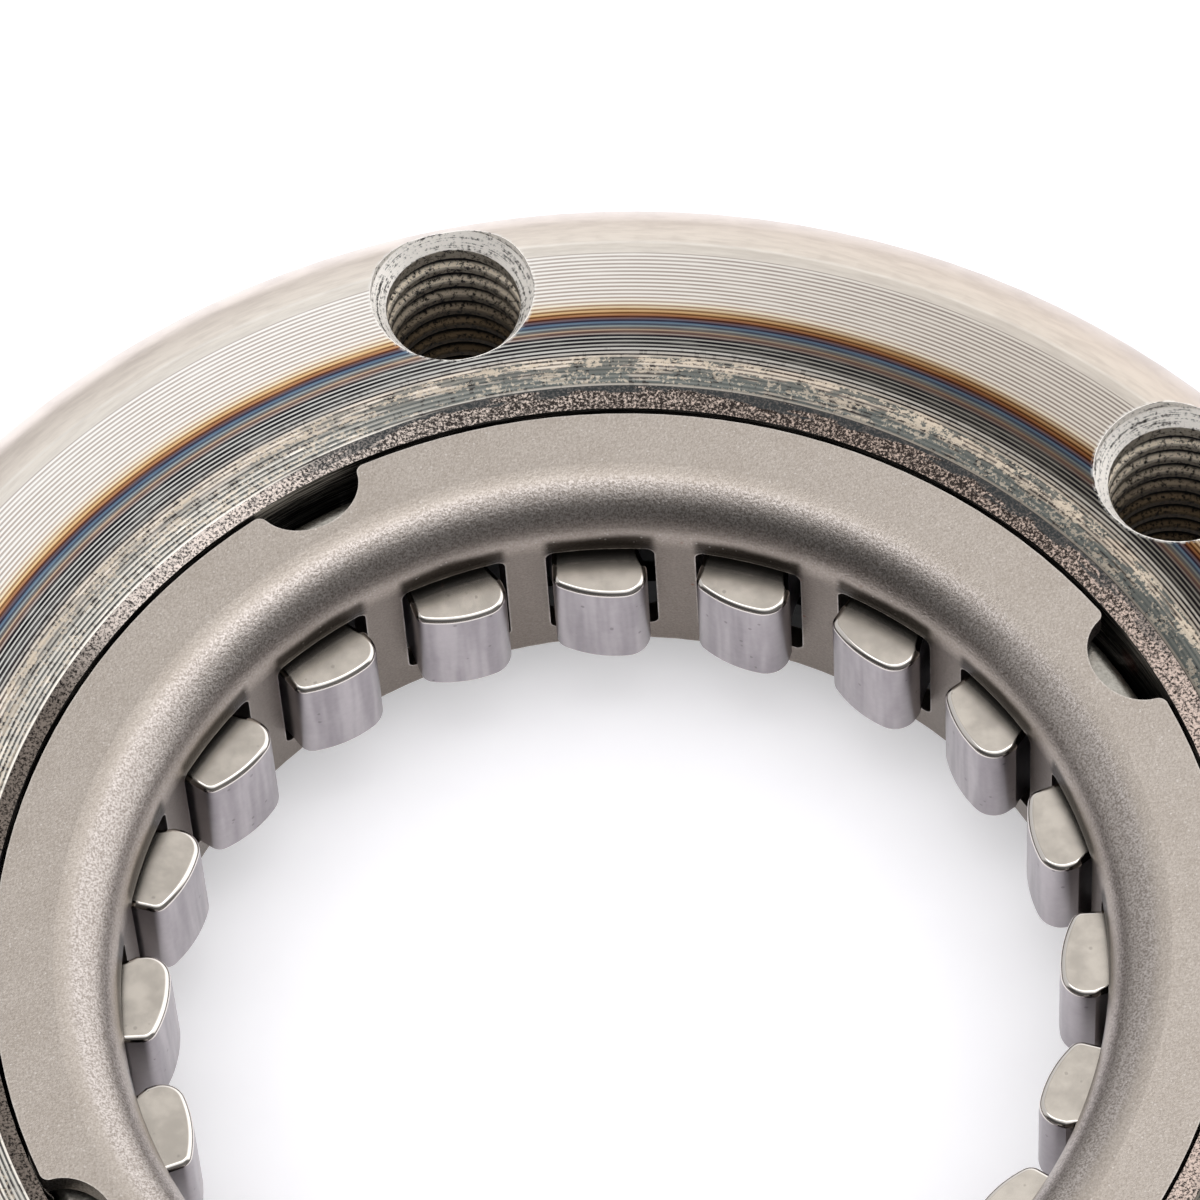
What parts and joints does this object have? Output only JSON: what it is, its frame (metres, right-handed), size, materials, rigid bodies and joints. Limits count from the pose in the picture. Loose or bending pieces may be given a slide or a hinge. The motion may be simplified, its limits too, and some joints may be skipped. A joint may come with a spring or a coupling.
{
  "type": "sprag clutch",
  "caption": "One-way sprag clutch for a starter drive: a thick ring with threaded bolt holes around a flanged sheet-metal cage of leaning sprags.",
  "frame": {"origin": "centre of the outer race's lower face, on the clutch axis", "axes": "+Z along the clutch axis towards the cage's flange; +X and +Y across it"},
  "size_m": [0.0842, 0.0842, 0.015],
  "materials": {
    "race_steel": "turned, induction hardened steel with heat tint",
    "cage_steel": "matte blasted sheet steel",
    "sprag_steel": "ground and tumbled bearing steel with bright edges",
    "spring_steel": "smooth blue-grey spring strip"
  },
  "bodies": {
    "race": {"outer_race": "race_steel"},
    "cage": {"inner_cage": "cage_steel", "outer_cage": "cage_steel", "ribbon_spring": "spring_steel"},
    "sprag_01": {"sprag_01": "sprag_steel"},
    "sprag_02": {"sprag_02": "sprag_steel"},
    "sprag_03": {"sprag_03": "sprag_steel"},
    "sprag_04": {"sprag_04": "sprag_steel"},
    "sprag_05": {"sprag_05": "sprag_steel"},
    "sprag_06": {"sprag_06": "sprag_steel"},
    "sprag_07": {"sprag_07": "sprag_steel"},
    "sprag_08": {"sprag_08": "sprag_steel"},
    "sprag_09": {"sprag_09": "sprag_steel"},
    "sprag_10": {"sprag_10": "sprag_steel"},
    "sprag_11": {"sprag_11": "sprag_steel"},
    "sprag_12": {"sprag_12": "sprag_steel"},
    "sprag_13": {"sprag_13": "sprag_steel"},
    "sprag_14": {"sprag_14": "sprag_steel"},
    "sprag_15": {"sprag_15": "sprag_steel"},
    "sprag_16": {"sprag_16": "sprag_steel"},
    "sprag_17": {"sprag_17": "sprag_steel"},
    "sprag_18": {"sprag_18": "sprag_steel"},
    "sprag_19": {"sprag_19": "sprag_steel"},
    "sprag_20": {"sprag_20": "sprag_steel"}
  },
  "joints": [
    {"name": "cage_spin", "type": "hinge", "parent": "race", "child": "cage", "pos_m": [0, 0, 0.00775], "axis": [0, 0, 1], "continuous": true},
    {"name": "sprag_01_lean", "type": "hinge", "parent": "cage", "child": "sprag_01", "pos_m": [0.00088, 0.02518, 0.00775], "axis": [0, 0, 1], "range_deg": [0, 6], "stiffness_Nm_per_rad": 0.001, "springref_deg": -2.86},
    {"name": "sprag_02_lean", "type": "hinge", "parent": "cage", "child": "sprag_02", "pos_m": [0.00862, 0.02368, 0.00775], "axis": [0, 0, 1], "range_deg": [0, 6], "stiffness_Nm_per_rad": 0.001, "springref_deg": -2.86},
    {"name": "sprag_03_lean", "type": "hinge", "parent": "cage", "child": "sprag_03", "pos_m": [0.01551, 0.01986, 0.00775], "axis": [0, 0, 1], "range_deg": [0, 6], "stiffness_Nm_per_rad": 0.001, "springref_deg": -2.86},
    {"name": "sprag_04_lean", "type": "hinge", "parent": "cage", "child": "sprag_04", "pos_m": [0.02089, 0.01409, 0.00775], "axis": [0, 0, 1], "range_deg": [0, 6], "stiffness_Nm_per_rad": 0.001, "springref_deg": -2.86},
    {"name": "sprag_05_lean", "type": "hinge", "parent": "cage", "child": "sprag_05", "pos_m": [0.02422, 0.00695, 0.00775], "axis": [0, 0, 1], "range_deg": [0, 6], "stiffness_Nm_per_rad": 0.001, "springref_deg": -2.86},
    {"name": "sprag_06_lean", "type": "hinge", "parent": "cage", "child": "sprag_06", "pos_m": [0.02518, -0.00088, 0.00775], "axis": [0, 0, 1], "range_deg": [0, 6], "stiffness_Nm_per_rad": 0.001, "springref_deg": -2.86},
    {"name": "sprag_07_lean", "type": "hinge", "parent": "cage", "child": "sprag_07", "pos_m": [0.02368, -0.00862, 0.00775], "axis": [0, 0, 1], "range_deg": [0, 6], "stiffness_Nm_per_rad": 0.001, "springref_deg": -2.86},
    {"name": "sprag_08_lean", "type": "hinge", "parent": "cage", "child": "sprag_08", "pos_m": [0.01986, -0.01551, 0.00775], "axis": [0, 0, 1], "range_deg": [0, 6], "stiffness_Nm_per_rad": 0.001, "springref_deg": -2.86},
    {"name": "sprag_09_lean", "type": "hinge", "parent": "cage", "child": "sprag_09", "pos_m": [0.01409, -0.02089, 0.00775], "axis": [0, 0, 1], "range_deg": [0, 6], "stiffness_Nm_per_rad": 0.001, "springref_deg": -2.86},
    {"name": "sprag_10_lean", "type": "hinge", "parent": "cage", "child": "sprag_10", "pos_m": [0.00695, -0.02422, 0.00775], "axis": [0, 0, 1], "range_deg": [0, 6], "stiffness_Nm_per_rad": 0.001, "springref_deg": -2.86},
    {"name": "sprag_11_lean", "type": "hinge", "parent": "cage", "child": "sprag_11", "pos_m": [-0.00088, -0.02518, 0.00775], "axis": [0, 0, 1], "range_deg": [0, 6], "stiffness_Nm_per_rad": 0.001, "springref_deg": -2.86},
    {"name": "sprag_12_lean", "type": "hinge", "parent": "cage", "child": "sprag_12", "pos_m": [-0.00862, -0.02368, 0.00775], "axis": [0, 0, 1], "range_deg": [0, 6], "stiffness_Nm_per_rad": 0.001, "springref_deg": -2.86},
    {"name": "sprag_13_lean", "type": "hinge", "parent": "cage", "child": "sprag_13", "pos_m": [-0.01551, -0.01986, 0.00775], "axis": [0, 0, 1], "range_deg": [0, 6], "stiffness_Nm_per_rad": 0.001, "springref_deg": -2.86},
    {"name": "sprag_14_lean", "type": "hinge", "parent": "cage", "child": "sprag_14", "pos_m": [-0.02089, -0.01409, 0.00775], "axis": [0, 0, 1], "range_deg": [0, 6], "stiffness_Nm_per_rad": 0.001, "springref_deg": -2.86},
    {"name": "sprag_15_lean", "type": "hinge", "parent": "cage", "child": "sprag_15", "pos_m": [-0.02422, -0.00695, 0.00775], "axis": [0, 0, 1], "range_deg": [0, 6], "stiffness_Nm_per_rad": 0.001, "springref_deg": -2.86},
    {"name": "sprag_16_lean", "type": "hinge", "parent": "cage", "child": "sprag_16", "pos_m": [-0.02518, 0.00088, 0.00775], "axis": [0, 0, 1], "range_deg": [0, 6], "stiffness_Nm_per_rad": 0.001, "springref_deg": -2.86},
    {"name": "sprag_17_lean", "type": "hinge", "parent": "cage", "child": "sprag_17", "pos_m": [-0.02368, 0.00862, 0.00775], "axis": [0, 0, 1], "range_deg": [0, 6], "stiffness_Nm_per_rad": 0.001, "springref_deg": -2.86},
    {"name": "sprag_18_lean", "type": "hinge", "parent": "cage", "child": "sprag_18", "pos_m": [-0.01986, 0.01551, 0.00775], "axis": [0, 0, 1], "range_deg": [0, 6], "stiffness_Nm_per_rad": 0.001, "springref_deg": -2.86},
    {"name": "sprag_19_lean", "type": "hinge", "parent": "cage", "child": "sprag_19", "pos_m": [-0.01409, 0.02089, 0.00775], "axis": [0, 0, 1], "range_deg": [0, 6], "stiffness_Nm_per_rad": 0.001, "springref_deg": -2.86},
    {"name": "sprag_20_lean", "type": "hinge", "parent": "cage", "child": "sprag_20", "pos_m": [-0.00695, 0.02422, 0.00775], "axis": [0, 0, 1], "range_deg": [0, 6], "stiffness_Nm_per_rad": 0.001, "springref_deg": -2.86}
  ],
  "couplings": [
    {"joint": "sprag_02_lean", "follows": "sprag_01_lean", "ratio": 1},
    {"joint": "sprag_03_lean", "follows": "sprag_01_lean", "ratio": 1},
    {"joint": "sprag_04_lean", "follows": "sprag_01_lean", "ratio": 1},
    {"joint": "sprag_05_lean", "follows": "sprag_01_lean", "ratio": 1},
    {"joint": "sprag_06_lean", "follows": "sprag_01_lean", "ratio": 1},
    {"joint": "sprag_07_lean", "follows": "sprag_01_lean", "ratio": 1},
    {"joint": "sprag_08_lean", "follows": "sprag_01_lean", "ratio": 1},
    {"joint": "sprag_09_lean", "follows": "sprag_01_lean", "ratio": 1},
    {"joint": "sprag_10_lean", "follows": "sprag_01_lean", "ratio": 1},
    {"joint": "sprag_11_lean", "follows": "sprag_01_lean", "ratio": 1},
    {"joint": "sprag_12_lean", "follows": "sprag_01_lean", "ratio": 1},
    {"joint": "sprag_13_lean", "follows": "sprag_01_lean", "ratio": 1},
    {"joint": "sprag_14_lean", "follows": "sprag_01_lean", "ratio": 1},
    {"joint": "sprag_15_lean", "follows": "sprag_01_lean", "ratio": 1},
    {"joint": "sprag_16_lean", "follows": "sprag_01_lean", "ratio": 1},
    {"joint": "sprag_17_lean", "follows": "sprag_01_lean", "ratio": 1},
    {"joint": "sprag_18_lean", "follows": "sprag_01_lean", "ratio": 1},
    {"joint": "sprag_19_lean", "follows": "sprag_01_lean", "ratio": 1},
    {"joint": "sprag_20_lean", "follows": "sprag_01_lean", "ratio": 1}
  ]
}
